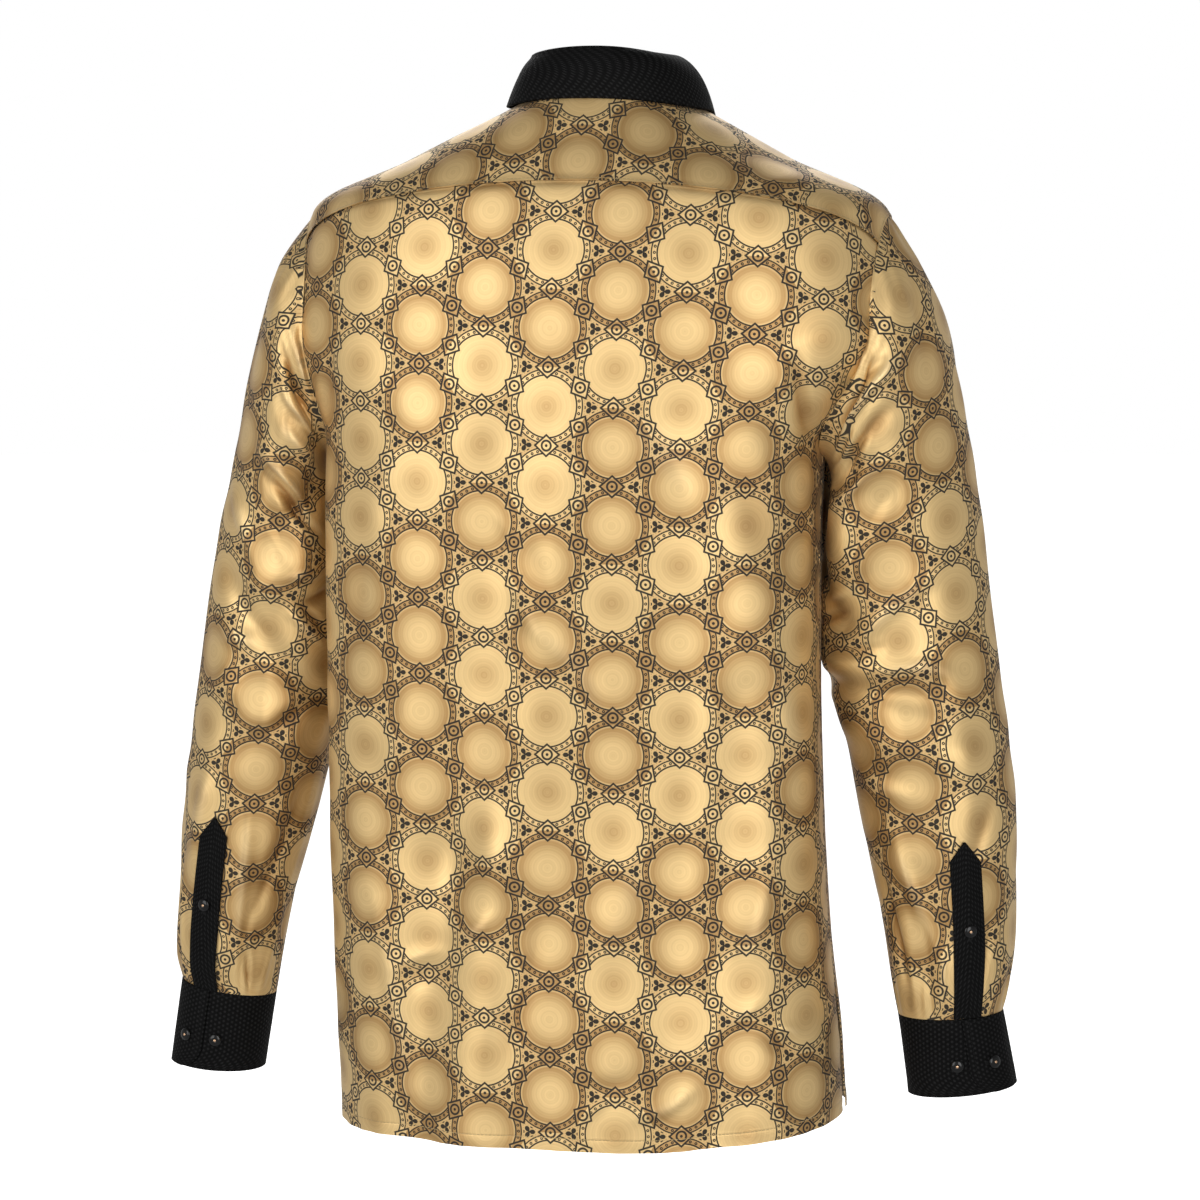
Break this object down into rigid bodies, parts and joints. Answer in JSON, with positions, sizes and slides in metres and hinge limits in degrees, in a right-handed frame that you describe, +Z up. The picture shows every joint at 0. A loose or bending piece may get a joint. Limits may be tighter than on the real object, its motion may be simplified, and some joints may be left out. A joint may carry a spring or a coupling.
{
  "type": "long-sleeved jacquard shirt",
  "caption": "Long-sleeved patterned satin shirt with black collar, cuffs and sleeve plackets, straight hem and side vents, kept in its hollow worn form.",
  "frame": {"origin": "at the neck, level with the collar seam, between the shoulders, where a wearer or stand holds the shirt", "axes": "+Z up, the front faces -Y, +X is the wearer's left"},
  "size_m": [0.6726, 0.2493, 0.8179],
  "materials": {
    "patterned_satin": "gold satin jacquard with dark line work, soft sheen",
    "black_weave": "black fabric with a fine honeycomb weave, dull",
    "black_gloss": "polished black buttons"
  },
  "bodies": {
    "root": {"back": "patterned_satin", "yoke": "patterned_satin", "front_left": "patterned_satin", "front_right": "patterned_satin", "sleeve_left_upper": "patterned_satin", "sleeve_left_middle": "patterned_satin", "sleeve_left_lower": "patterned_satin", "sleeve_right_upper": "patterned_satin", "sleeve_right_middle": "patterned_satin", "sleeve_right_lower": "patterned_satin", "front_band": "black_weave", "collar_stand": "black_weave", "collar_fall": "black_weave", "cuff_left": "black_weave", "cuff_right": "black_weave", "placket_left": "black_weave", "placket_right": "black_weave", "button_front_1": "black_gloss", "button_front_2": "black_gloss", "button_front_3": "black_gloss", "button_front_4": "black_gloss", "button_front_5": "black_gloss", "button_front_6": "black_gloss", "button_cuff_left_1": "black_gloss", "button_cuff_left_2": "black_gloss", "button_placket_left": "black_gloss", "button_cuff_right_1": "black_gloss", "button_cuff_right_2": "black_gloss", "button_placket_right": "black_gloss"}
  },
  "joints": []
}
